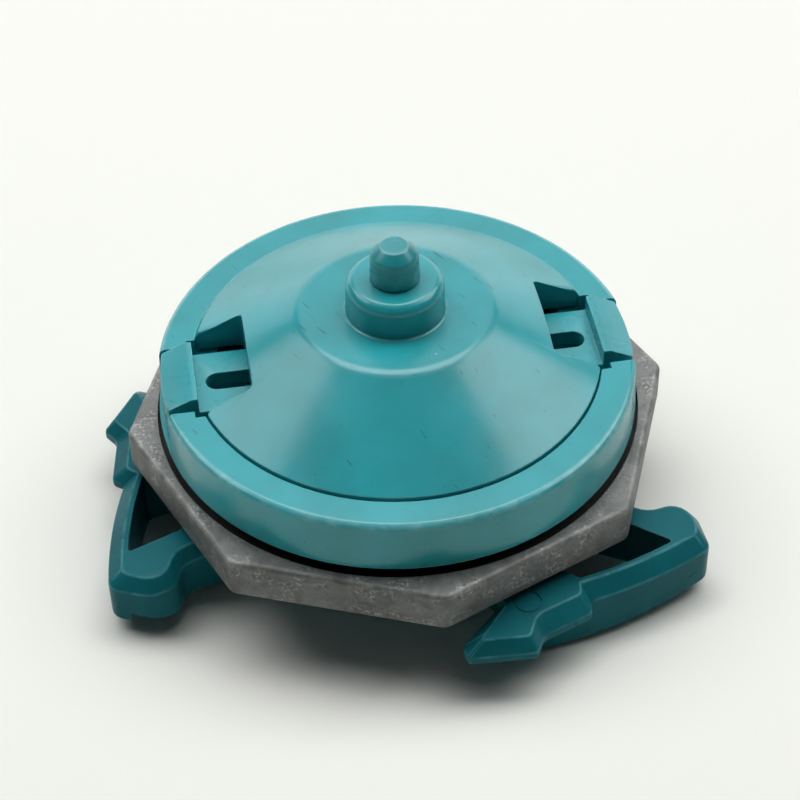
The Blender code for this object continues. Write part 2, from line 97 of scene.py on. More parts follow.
# Rim and lock tabs
RIM_INNER_R = 16.65
RIM_TOP_R = 19.4
RIM_FOOT_R = 19.6
RIM_GAP_FRONT = 4.05
RIM_GAP_BACK = 3.53
RIM_STEP = 0.75
RIM_STEP_X = 16.8
RIM_END_R = 0.7
RIM_SKIRT_R = 18.0
RIM_CAVITY_R = 17.4
RIM_GAP_INNER_X = 14.4
SEAT_Z = 9.64
TUBE_OUTER_R = 13.0
TUBE_INNER_R = 12.0
TUBE_END_Z = 3.6
LEDGE_R = 15.0
LEDGE_ROOT_Z = 12.4
LEDGE_BOTTOM_Z = 12.9
LEDGE_TOP_Z = 13.9
STEP_FLOOR_Z = 12.3
CLAW_INNER_R = 12.5
CLAW_OUTER_R = 14.1
CLAW_HALF_ANGLE = 28.0
CLAW_Z = (3.61, 4.8)
RAIL_INNER_X = 12.2
RAIL_Y = (1.5, 3.15)
RAIL_TOP_Z = 12.9
KEY_LOW = (12.5, -1.2, 6.9)
KEY_HIGH = (14.3, 1.2, 10.1)
LOCK_HALF_WIDTH = 3.45
LOCK_INNER_X = 8.95
LOCK_TOE = 0.95
LOCK_TOE_Z = 12.0
PLATE_BOTTOM_Z = 13.2
PAD_INNER_X = 16.4
PAD_RIDGE = 0.6
PAD_TOP_Z = 16.05
PAD_R = 19.2
PAD_WALL = 1.45
PAD_BOTTOM_Z = 11.8
PAD_OUTER_DROP = 0.4
PAD_SPARE = 0.8
SLOT_HALF_WIDTH = 0.94
SLOT_END_X = 15.6

# Weight disc
DISC_SIDES = 8
DISC_APOTHEM = 20.7
DISC_TURN = 0.7
DISC_RECESS_R = 19.8
DISC_BORE_R = 13.3
DISC_CORNER_R = 1.1
DISC_RECESS_DEPTH = 1.0
KEYWAY_LOW = (12.3, -1.5, 0.0)
KEYWAY_HIGH = (14.6, 1.5, FAR)

# Attack ring; one wing is drawn in its own plan, with x out along its arm
HUB_R = 16.4
HUB_FOOT_R = 13.6
HUB_WELL_R = 14.4
HUB_FLOOR_Z = 3.2
CHIP_SEAT_R = 6.2
CHIP_SEAT_Z = 2.2
SOCKET_R = (7.3, 12.0)
SOCKET_HALF_ANGLE = 40.0
SOCKET_TOP_Z = 4.2
LUG_R = (13.3, 15.2)
LUG_HALF_ANGLE = 35.0
LUG_Z = (5.1, 6.2)
WING_COUNT = 3
WING_ANGLE = 81.8
WALL_CENTRE = Vector((-7.42, 16.87))
WALL_R = 38.4
WALL_THICK = 1.7
WALL_CHAMFER = 1.2
WALL_TIP_Y = 1.82
WALL_ROOT_Y = -11.2
WALL_TIP_Z = 1.34
WALL_SLOPE = 0.16
WING_LOWEST_Z = 0.2
HOLE_INNER_R = 16.7
ARM_UNDERSIDE_X = 25.0
ARM_UNDERSIDE_Z = 1.95
WING_END = [(25.4, 4.4), (23.2, 4.5)]
ARM_INNER_CORNER = (21.7, 2.7)
WING_ROOT = [(15.0, 2.7), (15.2, -3.0), (12.6, -8.6)]
CHAMFER_OUT = 0.8
CHAMFER_DROP = 1.2
BLOCK_BOTTOM_Z = 4.0
BLOCK_TIP = [(15.14, -16.81), (16.06, -17.75)]
BLOCK_CORNERS = [(15.7, -18.1), (20.6, -14.6), (20.2, -12.9), (22.5, -8.95)]
BLOCK_CHAMFERS = [0.8, 0.8, 1.3, 0.8]
BLOCK_POINT = 0.9
BLOCK_VALLEY_R = 1.4
BLOCK_ROOT = [(21.4, -7.2), (13.5, -7.5), (13.4, -9.6), (15.8, -11.8)]
EJECTOR_MARK = (17.97, -11.3)
EJECTOR_MARK_R = 1.1
EJECTOR_MARK_WIDTH = 0.1
EJECTOR_MARK_DEPTH = 0.08

# Photograph's camera, in the frame's axes, in millimetres and degrees
CAMERA_AT = (0.2, -130.59, 135.36)
CAMERA_ELEVATION = 43.823
CAMERA_ROLL = -1.25
CAMERA_TURN = -8.0
CAMERA_LENS = 98.19
CAMERA_SENSOR = 36.0

# Looks
ABS_IOR = 1.53
DUST_COLOUR = "9CC4C4"


def arc(centre, radius, start, end, steps):
    """Points along a circle from one angle to another, in degrees."""
    points = []
    for step in range(steps + 1):
        angle = math.radians(start + (end - start) * step / steps)
        points.append(Vector(centre) + radius * Vector((math.cos(angle), math.sin(angle))))
    return points


def eased(points, closed, steps=4):
    """Rounds the corners given as (a, b, radius); each point comes with its edge mark, 1 on a small round."""
    outline = []
    count = len(points)
    for i, point in enumerate(points):
        corner = Vector(point[:2])
        if len(point) == 2 or (not closed and i in (0, count - 1)):
            outline.append((corner, 0.0))
            continue
        radius = point[2]
        before = (Vector(points[i - 1][:2]) - corner).normalized()
        after = (Vector(points[(i + 1) % count][:2]) - corner).normalized()
        half = before.angle(after) / 2
        centre = corner + (before + after).normalized() * radius / math.sin(half)
        start = corner + before * radius / math.tan(half) - centre
        end = corner + after * radius / math.tan(half) - centre
        turn = start.angle_signed(end)
        for step in range(steps + 1):
            spin = Matrix.Rotation(-turn * step / steps, 2)
            plain = step in (0, steps) or radius > PALE_EDGE_ROUND_MAX
            outline.append((centre + spin @ start, 0.0 if plain else 1.0))
    return outline


def turned(profile, steps, closed=True):
    """Solid of revolution from a profile of (radius, height, optional corner radius)."""
    bm = bmesh.new()
    edge_layer = bm.verts.layers.float.new("edge")
    verts = []
    for (radius, height), mark in eased(profile, closed):
        vert = bm.verts.new((radius, 0.0, height))
        vert[edge_layer] = mark
        verts.append(vert)
    edges = [bm.edges.new(pair) for pair in zip(verts, verts[1:])]
    if closed:
        edges.append(bm.edges.new((verts[-1], verts[0])))
    bmesh.ops.spin(bm, geom=verts + edges, cent=(0, 0, 0), axis=(0, 0, 1), angle=FULL_TURN,
                   steps=steps, use_merge=True)
    bmesh.ops.remove_doubles(bm, verts=bm.verts, dist=SPIN_MERGE)
    bmesh.ops.recalc_face_normals(bm, faces=bm.faces)
    return bm


def raised(outline, low, high, top=None, drop=0.0):
    """Prism on an outline; a second outline for its top slopes the last drop of its height."""
    bm = bmesh.new()
    bm.verts.layers.float.new("edge")
    face = bm.faces.new([bm.verts.new((point[0], point[1], low)) for point in outline])
    levels = [(high - drop, outline)]
    if top:
        levels.append((high, top))
    for height, corners in levels:
        made = bmesh.ops.extrude_face_region(bm, geom=[face], use_keep_orig=True)["geom"]
        if corners is top:
            bmesh.ops.delete(bm, geom=[face], context="FACES_ONLY")
        face = next(item for item in made if isinstance(item, bmesh.types.BMFace))
        for vert, corner in zip(face.verts, corners):
            vert.co = (corner[0], corner[1], height)
    bmesh.ops.recalc_face_normals(bm, faces=bm.faces)
    return bm


def boxed(low, high):
    """Box between two corners."""
    bm = bmesh.new()
    bm.verts.layers.float.new("edge")
    middle = (Vector(low) + Vector(high)) / 2
    size = Vector(high) - Vector(low)
    place = Matrix.Translation(middle) @ Matrix.Diagonal((*size, 1.0))
    bmesh.ops.create_cube(bm, size=1.0, matrix=place)
    return bm


def rotated(bm, degrees, axis="Z"):
    turn = Matrix.Rotation(math.radians(degrees), 3, axis)
    bmesh.ops.rotate(bm, cent=(0, 0, 0), matrix=turn, verts=bm.verts)
    return bm


def joined(bm, other):
    """Adds the other mesh's faces to the first, as one more closed shell."""
    mesh = bpy.data.meshes.new("shell")
    other.to_mesh(mesh)
    other.free()
    bm.from_mesh(mesh)
    bpy.data.meshes.remove(mesh)


def carved(bm, tool, operation="DIFFERENCE"):
    """One solid cut by another, joined to it or kept within it; corners keep their edge marks."""
    solids = []
    marks = [(vert.co.copy(), vert[source.verts.layers.float["edge"]])
             for source in (bm, tool) for vert in source.verts]
    places = KDTree(len(marks))
    for index, (place, _) in enumerate(marks):
        places.insert(place, index)
    places.balance()
    for source in (bm, tool):
        mesh = bpy.data.meshes.new("solid")
        source.to_mesh(mesh)
        source.free()
        solid = bpy.data.objects.new("solid", mesh)
        bpy.context.scene.collection.objects.link(solid)
        solids.append(solid)
    boolean = solids[0].modifiers.new("carve", "BOOLEAN")
    boolean.operation = operation
    boolean.solver = "EXACT"
    boolean.object = solids[1]
    bpy.context.view_layer.update()
    result = bmesh.new()
    result.from_object(solids[0], bpy.context.evaluated_depsgraph_get())
    for solid in solids:
        mesh = solid.data
        bpy.data.objects.remove(solid)
        bpy.data.meshes.remove(mesh)
    bmesh.ops.remove_doubles(result, verts=result.verts, dist=CARVE_MERGE)
    edge_layer = result.verts.layers.float["edge"]
    for vert in result.verts:
        _, index, distance = places.find(vert.co)
        vert[edge_layer] = marks[index][1] if distance < CARVE_MERGE else 0.0
    return result


def softened(bm, width, sharper_than=30.0, segments=3, where=None):
    """Rounds the sharp edges and marks the middle of each round for paler edges, partly wear and partly
    painted highlight.
    """
    edge_layer = bm.verts.layers.float.get("edge") or bm.verts.layers.float.new("edge")
    edges = []
    for edge in bm.edges:
        if edge.is_manifold and edge.calc_face_angle() > math.radians(sharper_than):
            if where is None or where(edge):
                edges.append(edge)
    made = bmesh.ops.bevel(bm, geom=edges, offset=width, offset_type="OFFSET", affect="EDGES",
                           segments=segments, profile=0.5, material=-1, clamp_overlap=False)
    rounds = set(made["faces"])
    for vert in made["verts"]:
        vert[edge_layer] = 1.0 if all(face in rounds for face in vert.link_faces) else 0.0


def finished(name, bm, material, body, node):
    """Turns a modelled mesh into a shown piece that stands for its solid and moves with its body.

    Slivers left by carving are merged away, and faces of many corners are split, so that every edge
    is shared by two faces.
    """
    bmesh.ops.remove_doubles(bm, verts=bm.verts, dist=PIECE_MERGE)
    bmesh.ops.dissolve_degenerate(bm, dist=PIECE_MERGE, edges=bm.edges)
    bmesh.ops.triangulate(bm, faces=[face for face in bm.faces if len(face.verts) > 4])
    bmesh.ops.recalc_face_normals(bm, faces=bm.faces)
    bmesh.ops.scale(bm, vec=(MM, MM, MM), verts=bm.verts)
    mesh = bpy.data.meshes.new(name)
    bm.to_mesh(mesh)
    bm.free()
    mesh.shade_smooth()
    mesh.set_sharp_from_angle(angle=math.radians(SMOOTH_BELOW))
    mesh.materials.append(material)
    piece = bpy.data.objects.new(name, mesh)
    bpy.context.scene.collection.objects.link(piece)
    even = piece.modifiers.new("even_flats", "WEIGHTED_NORMAL")
    even.keep_sharp = True
    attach(piece, body)
    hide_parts(node)


def linear(hex_colour):
    """Linear RGBA of an sRGB hex colour."""
    channels = []
    for i in (0, 2, 4):
        value = int(hex_colour[i:i + 2], 16) / 255
        channels.append(value / 12.92 if value <= 0.04045 else ((value + 0.055) / 1.055) ** 2.4)
    return (*channels, 1.0)


def add(tree, kind, inputs=None, **settings):
    """Adds a node with its settings; an input that is a socket is linked, and any other is set."""
    node = tree.nodes.new(kind)
    for name, value in settings.items():
        setattr(node, name, value)
    for socket, value in (inputs or {}).items():
        if isinstance(value, bpy.types.NodeSocket):
            tree.links.new(value, node.inputs[socket])
        else:
            node.inputs[socket].default_value = value
    return node


def per_metre(size_mm):
    """Texture scale for a pattern of that size."""
    return 1.0 / (size_mm * MM)


def noise(tree, place, size_mm, detail, distortion=0.0):
    """Cloudy pattern whose features have about that size."""
    inputs = {"Vector": place, "Scale": per_metre(size_mm), "Detail": detail, "Distortion": distortion}
    return add(tree, "ShaderNodeTexNoise", inputs).outputs["Fac"]


def ranged(tree, value, low, high, to_low=0.0, to_high=1.0):
    """Value spread from one range to another, held at its ends."""
    inputs = {"Value": value, "From Min": low, "From Max": high, "To Min": to_low, "To Max": to_high}
    return add(tree, "ShaderNodeMapRange", inputs).outputs["Result"]


def blended(tree, factor, under, over):
    """One colour over another; each is a socket or an sRGB hex colour."""
    inputs = {"Factor": factor}
    for socket, colour in ((6, under), (7, over)):
        inputs[socket] = linear(colour) if isinstance(colour, str) else colour
    return add(tree, "ShaderNodeMix", inputs, data_type="RGBA").outputs[2]


def calculated(tree, operation, *values):
    return add(tree, "ShaderNodeMath", dict(enumerate(values)), operation=operation).outputs["Value"]


def new_material(name):
    material = bpy.data.materials.new(name)
    material.use_nodes = True
    tree = material.node_tree
    return material, tree, tree.nodes["Principled BSDF"]


def moulded_abs(name, colour, shade, pale, scratch, roughness, gloss=0.5):
    """ABS, injection moulded against a polished steel tool and then played with.

    The eye sees one even colour with a satin gloss, slightly uneven where hands have polished it,
    a few hairline scratches, some specks of dust, and thin paler edges on the small rounds, partly
    rubbed wear and partly painted highlight.
    """
    material, tree, shader = new_material(name)
    place = add(tree, "ShaderNodeTexCoord").outputs["Object"]
    clouds = noise(tree, place, 6.0, 4.0)
    grain = noise(tree, place, 0.35, 2.0)
    smears = noise(tree, place, 2.6, 4.0, 1.2)
    base = blended(tree, ranged(tree, clouds, 0.35, 0.65), colour, shade)
    # Partly painted highlight: small rounds are made paler, both for rubbed wear and for the highlight lines
    # along edges.
    edge = add(tree, "ShaderNodeAttribute", attribute_name="edge").outputs["Fac"]
    edge_rub_and_highlight = ranged(tree, smears, 0.35, 0.65, 0.1, 0.45)
    worn_and_highlit = blended(tree, calculated(tree, "MULTIPLY", edge, edge_rub_and_highlight), base, pale)
    lengthwise = add(tree, "ShaderNodeMapping",
                     {"Vector": place, "Rotation": (0.0, 0.0, math.radians(-60)), "Scale": (10.0, 1.0, 1.6)},
                     vector_type="TEXTURE")
    hairlines = noise(tree, lengthwise.outputs["Vector"], 0.2, 0.0)
    patch = calculated(tree, "MULTIPLY_ADD", clouds, 0.4, hairlines)
    line = ranged(tree, patch, 1.03, 1.06, 0.0, 0.6)
    depth = calculated(tree, "MULTIPLY_ADD", line, -0.8, grain)
    scratched = blended(tree, line, worn_and_highlit, scratch)
    specks = add(tree, "ShaderNodeTexVoronoi", {"Vector": place, "Scale": per_metre(2.4), "Randomness": 1.0})
    chosen = add(tree, "ShaderNodeSeparateColor", {"Color": specks.outputs["Color"]})
    size = ranged(tree, chosen.outputs["Red"], 0.8, 1.0, 0.0, 0.035)
    dust = calculated(tree, "LESS_THAN", specks.outputs["Distance"], size)
    tree.links.new(blended(tree, dust, scratched, DUST_COLOUR), shader.inputs["Base Color"])
    satin = ranged(tree, smears, 0.25, 0.75, roughness - 0.04, roughness + 0.06)
    tree.links.new(satin, shader.inputs["Roughness"])
    relief = add(tree, "ShaderNodeBump", {"Height": depth, "Strength": 0.08, "Distance": 0.02 * MM})
    tree.links.new(relief.outputs["Normal"], shader.inputs["Normal"])
    shader.inputs["IOR"].default_value = ABS_IOR
    shader.inputs["Specular IOR Level"].default_value = gloss
    return material


def cast_zinc():
    """Zinc alloy, pressure die-cast and tumbled, never plated.

    The eye sees a dull mid grey, cloudy with flow marks, speckled with dark pits and bright grains of
    a few tenths of a millimetre, and brighter along corners and edges, partly knocked wear and partly
    painted highlight. Within the recess's radius it is painted almost black, a painted shade for the
    shadow under the rim, fading out towards the disc's underside.
    """
    material, tree, shader = new_material("zinc_die_cast_tumbled")
    place = add(tree, "ShaderNodeTexCoord").outputs["Object"]
    grain = noise(tree, place, 0.28, 4.0)
    flow = noise(tree, place, 2.2, 6.0, 1.2)
    knocks = noise(tree, place, 1.6, 4.0)
    base = blended(tree, ranged(tree, flow, 0.32, 0.68), "585A59", "747674")
    pits = blended(tree, ranged(tree, grain, 0.42, 0.34, 0.0, 0.4), base, "3C3E3D")
    rough = ranged(tree, knocks, 0.46, 0.64)
    glint = ranged(tree, grain, 0.5, 0.66, 0.0, 0.7)
    grains = blended(tree, calculated(tree, "MULTIPLY", glint, rough), pits, "B4B6B2")
    # Edges and corners are painted brighter, partly knocked wear and partly a painted highlight.
    edge = add(tree, "ShaderNodeAttribute", attribute_name="edge").outputs["Fac"]
    bright = ranged(tree, knocks, 0.4, 0.7, 0.0, 0.5)
    worn_and_highlit = blended(tree, calculated(tree, "MULTIPLY", edge, bright), grains, "A2A4A0")
    flat = add(tree, "ShaderNodeVectorMath", {0: place, 1: (1.0, 1.0, 0.0)}, operation="MULTIPLY")
    out = add(tree, "ShaderNodeVectorMath", {0: flat.outputs["Vector"]}, operation="LENGTH")
    height = add(tree, "ShaderNodeSeparateXYZ", {"Vector": place})
    # Painted shade: within the recess's radius the colour goes almost black, standing for the shadow under
    # the rim, and fades out over the lowest 1.5 mm of the disc.
    above = ranged(tree, height.outputs["Z"], DISC_BOTTOM_Z * MM, (DISC_BOTTOM_Z + 1.5) * MM, 0.0, 0.93)
    painted_rim_shade = ranged(tree, out.outputs["Value"], (DISC_RECESS_R - 0.05) * MM, (DISC_RECESS_R + 0.05) * MM,
                   above, 0.0)
    tree.links.new(blended(tree, painted_rim_shade, worn_and_highlit, "0E0F10"), shader.inputs["Base Color"])
    tree.links.new(ranged(tree, grain, 0.3, 0.7, 0.48, 0.62), shader.inputs["Roughness"])
    relief = add(tree, "ShaderNodeBump", {"Height": grain, "Strength": 0.45, "Distance": 0.05 * MM})
    tree.links.new(relief.outputs["Normal"], shader.inputs["Normal"])
    shader.inputs["Metallic"].default_value = 0.4
    return material


def inset_outline(outline, insets):
    """Moves each edge of a counterclockwise outline inward by its own inset."""
    result = []
    count = len(outline)
    for i, corner in enumerate(outline):
        before = (corner - outline[i - 1]).normalized()
        after = (outline[(i + 1) % count] - corner).normalized()
        first = corner + Vector((-before.y, before.x)) * insets[i - 1]
        second = corner + Vector((-after.y, after.x)) * insets[i]
        turn = before.cross(after)
        if abs(turn) < 0.001:
            result.append((first + second) / 2)
        else:
            result.append(first + before * (second - first).cross(after) / turn)
    return result


def hook_outlines():
    """Plans of the hooked block: its blunt-ended foot and its pointed top, with the hollow side eased."""
    corners = [Vector(point) for point in BLOCK_CORNERS + BLOCK_ROOT]
    insets = BLOCK_CHAMFERS + [0.0] * (len(BLOCK_ROOT) - 1) + [CHAMFER_OUT]
    top = inset_outline(corners, insets)
    side = (top[-1] - top[0]).normalized()
    outlines = []
    for tip, others in ((BLOCK_TIP, corners[1:]), ([top[0] + side * BLOCK_POINT, top[0]], top[1:])):
        outline = [tuple(point) for point in [*tip, *others]]
        outline[3] = (*outline[3], BLOCK_VALLEY_R)
        outlines.append([point for point, _ in eased(outline, True)])
    return outlines


def ring_sector(inner, outer, middle, half_angle, low, high):
    outline = arc((0, 0), outer, middle - half_angle, middle + half_angle, 16)
    outline += arc((0, 0), inner, middle + half_angle, middle - half_angle, 16)
    return raised(outline, low, high)


def make_tip_pin(material):
    profile = [
        (0.0, TIP_END_Z),
        (TIP_FLAT_R, TIP_END_Z, 0.3),
        (TIP_R - TIP_TAPER, TIP_END_Z - TIP_CHAMFER, 0.7),
        (TIP_R, BOSS_TOP_Z + TIP_FOOT_GAP),
        (SHANK_R, BOSS_TOP_Z + TIP_FOOT_GAP),
        (SHANK_R, SHANK_END_Z),
        (0.0, SHANK_END_Z),
    ]
    finished("driving_tip", turned(profile, 64, closed=False), material, "base", "tip_pin")


def is_window_edge(edge):
    """Whether an edge is on the cone's slope, where only the windows leave sharp edges."""
    return all(15.9 < vert.co.z < 18.4 for vert in edge.verts)


def make_cone(material):
    profile = [
        (SHANK_BORE_R, BOSS_TOP_Z),
        (BOSS_TOP_R, BOSS_TOP_Z, 0.65),
        *BOSS_SHOULDER,
        (BOSS_R, PLATEAU_Z, 0.18),
        (PLATEAU_R, PLATEAU_Z, 2.4),
        (CONE_EDGE_R, CONE_EDGE_Z, 0.12),
        (CONE_EDGE_R, CONE_BOTTOM_Z),
        (CAVITY_R, CONE_BOTTOM_Z),
        (CAVITY_R, CAVITY_EDGE_Z),
        (PLATEAU_R, CAVITY_TOP_Z),
        (SHANK_BORE_R, CAVITY_TOP_Z),
    ]
    cone = turned(profile, 96)
    window = [
        (WINDOW_INNER_X, WINDOW_HALF_WIDTH, WINDOW_CORNER_R),
        (WINDOW_INNER_X, -WINDOW_HALF_WIDTH, WINDOW_CORNER_R),
        (WINDOW_FLARE_X, -WINDOW_HALF_WIDTH, WINDOW_FLARE_R),
        (WINDOW_FLARE_X + WINDOW_FLARE, -WINDOW_HALF_WIDTH - WINDOW_FLARE),
        (FAR, -WINDOW_HALF_WIDTH - WINDOW_FLARE),
        (FAR, WINDOW_HALF_WIDTH),
    ]
    outline = [point for point, _ in eased(window, True)]
    for angle, out in ((0, 1), (180, -1)):
        plan = [(out * x, y) for x, y in outline[::out]]
        cone = carved(cone, raised(plan, WINDOW_CUT_Z, FAR))
        channel = boxed((CAVITY_R - 1.0, -CHANNEL_HALF_WIDTH, WINDOW_CUT_Z),
                        (WINDOW_INNER_X + 1.0, CHANNEL_HALF_WIDTH, CHANNEL_TOP_Z))
        cone = carved(cone, rotated(channel, angle))
    softened(cone, 0.1, where=is_window_edge)
    finished("cone_cap_moulding", cone, material, "base", "cone_cap")


def rim_gap_outline():
    """Plan of the gap cut in the rim for the right lock tab, which leaves the rim's front end rounded."""
    middle = (math.sqrt(RIM_FOOT_R ** 2 - RIM_GAP_FRONT ** 2) - RIM_END_R, -RIM_GAP_FRONT - RIM_END_R)
    lean = -math.degrees(math.asin(RIM_GAP_FRONT / RIM_FOOT_R))
    outline = [(RIM_GAP_INNER_X, RIM_GAP_BACK), (RIM_GAP_INNER_X, -RIM_GAP_FRONT)]
    outline += [tuple(point) for point in arc(middle, RIM_END_R, 90.0, lean, 8)]
    return outline + [(FAR, outline[-1][1]), (FAR, RIM_GAP_BACK)]


def at_rim_end(edge):
    """Whether an edge is on top of one of the faces where the rim stops beside a lock tab."""
    return all(vert.co.z > RIM_TOP_Z - 0.01 and abs(vert.co.x) > RIM_STEP_X - 0.01
               and abs(vert.co.y) < RIM_GAP_FRONT + 0.05 for vert in edge.verts)


def make_rim(material):
    profile = [
        (RIM_INNER_R, RIM_TOP_Z, 0.15),
        (RIM_TOP_R, RIM_TOP_Z, 0.55),
        (RIM_FOOT_R, RIM_BOTTOM_Z, 0.3),
        (RIM_SKIRT_R, RIM_BOTTOM_Z),
        (RIM_SKIRT_R, SEAT_Z),
        (TUBE_OUTER_R, SEAT_Z),
        (TUBE_OUTER_R, TUBE_END_Z),
        (TUBE_INNER_R, TUBE_END_Z),
        (TUBE_INNER_R, WEB_TOP_Z),
        (RIM_CAVITY_R, WEB_TOP_Z),
        (RIM_CAVITY_R, LEDGE_ROOT_Z),
        (LEDGE_R, LEDGE_BOTTOM_Z),
        (LEDGE_R, LEDGE_TOP_Z),
        (RIM_INNER_R, LEDGE_TOP_Z),
    ]
    rim = turned(profile, 128)
    for out in (1, -1):
        gap = [(out * x, y) for x, y in rim_gap_outline()[::out]]
        rim = carved(rim, raised(gap, WEB_TOP_Z + 0.3, FAR))
        reach = sorted((RIM_GAP_INNER_X * out, RIM_STEP_X * out))
        rim = carved(rim, boxed((reach[0], -RIM_GAP_FRONT - RIM_STEP, STEP_FLOOR_Z),
                                (reach[1], RIM_GAP_BACK + RIM_STEP, FAR)))
    softened(rim, 0.1, sharper_than=60.0, where=at_rim_end)
    for angle in (0, 180):
        joined(rim, ring_sector(CLAW_INNER_R, CLAW_OUTER_R, angle, CLAW_HALF_ANGLE, *CLAW_Z))
        for side in (-1, 1):
            across = sorted(side * y for y in RAIL_Y)
            rail = boxed((RAIL_INNER_X, across[0], WEB_TOP_Z - 0.5), (PAD_INNER_X, across[1], RAIL_TOP_Z))
            joined(rim, rotated(rail, angle))
    for angle in (90, 270):
        joined(rim, rotated(boxed(KEY_LOW, KEY_HIGH), angle))
    finished("base_rim_moulding", rim, material, "base", "base_rim")


def make_lock(name, angle, material, body, node):
    slope = (PAD_TOP_Z - RIM_TOP_Z + PAD_OUTER_DROP) / (PAD_R - PAD_INNER_X - PAD_RIDGE)
    outer = PAD_R + PAD_SPARE
    side = [
        (LOCK_INNER_X, LOCK_TOE_Z),
        (LOCK_INNER_X + LOCK_TOE, LOCK_TOE_Z),
        (LOCK_INNER_X + LOCK_TOE, PLATE_BOTTOM_Z),
        (PAD_R - PAD_WALL, PLATE_BOTTOM_Z),
        (PAD_R - PAD_WALL, PAD_BOTTOM_Z),
        (outer, PAD_BOTTOM_Z),
        (outer, RIM_TOP_Z - PAD_OUTER_DROP - slope * PAD_SPARE),
        (PAD_INNER_X + PAD_RIDGE, PAD_TOP_Z),
        (PAD_INNER_X, PAD_TOP_Z),
        (PAD_INNER_X, PLATE_TOP_Z),
        (LOCK_INNER_X, PLATE_TOP_Z),
    ]
    lock = rotated(raised(side, -LOCK_HALF_WIDTH, LOCK_HALF_WIDTH), 90, "X")
    round_face = turned([(0.0, FAR), (PAD_R, FAR), (PAD_R, 0.0), (0.0, 0.0)], 128, closed=False)
    lock = carved(lock, round_face, "INTERSECT")
    slot = [Vector((0.0, -SLOT_HALF_WIDTH))]
    slot += arc((SLOT_END_X - SLOT_HALF_WIDTH, 0), SLOT_HALF_WIDTH, -90, 90, 12)
    slot.append(Vector((0.0, SLOT_HALF_WIDTH)))
    lock = carved(lock, raised(slot, 10.0, 16.0))
    softened(lock, 0.1)
    finished(name, rotated(lock, angle), material, body, node)


def make_weight_disc(material):
    corner = DISC_APOTHEM / math.cos(math.pi / DISC_SIDES)
    corners = []
    for side in range(DISC_SIDES):
        angle = math.radians(DISC_TURN) + FULL_TURN * side / DISC_SIDES
        corners.append((corner * math.cos(angle), corner * math.sin(angle), DISC_CORNER_R))
    outline = [point for point, _ in eased(corners, True)]
    disc = raised(outline, DISC_BOTTOM_Z, DISC_TOP_Z)
    softened(disc, 0.45, sharper_than=60.0, segments=4)
    recess_z = DISC_TOP_Z - DISC_RECESS_DEPTH
    bore = [(0.0, FAR), (DISC_RECESS_R, FAR), (DISC_RECESS_R, recess_z), (DISC_BORE_R, recess_z),
            (DISC_BORE_R, 0.0), (0.0, 0.0)]
    disc = carved(disc, turned(bore, 128, closed=False))
    softened(disc, 0.08, where=lambda edge: all(
        vert.co.z > DISC_TOP_Z - 0.01 and vert.co.xy.length < DISC_RECESS_R + 0.01 for vert in edge.verts))
    for angle in (90, 270):
        disc = carved(disc, rotated(boxed(KEYWAY_LOW, KEYWAY_HIGH), angle))
    finished("zinc_weight_disc", disc, material, "base", "weight_disc")


def wall_point(across, inset=0.0):
    """Point on the wing's curved wall, or inset from it, at a distance across the arm."""
    radius = WALL_R - inset
    return Vector((WALL_CENTRE.x + math.sqrt(radius ** 2 - (across - WALL_CENTRE.y) ** 2), across))


def wall_arc(start_y, end_y, inset=0.0, steps=16):
    angles = []
    for across in (start_y, end_y):
        offset = wall_point(across, inset) - WALL_CENTRE
        angles.append(math.degrees(math.atan2(offset.y, offset.x)))
    return arc(WALL_CENTRE, WALL_R - inset, angles[0], angles[1], steps)


def is_upright(edge):
    along = edge.verts[1].co - edge.verts[0].co
    return abs(along.z) > 0.5 * along.length


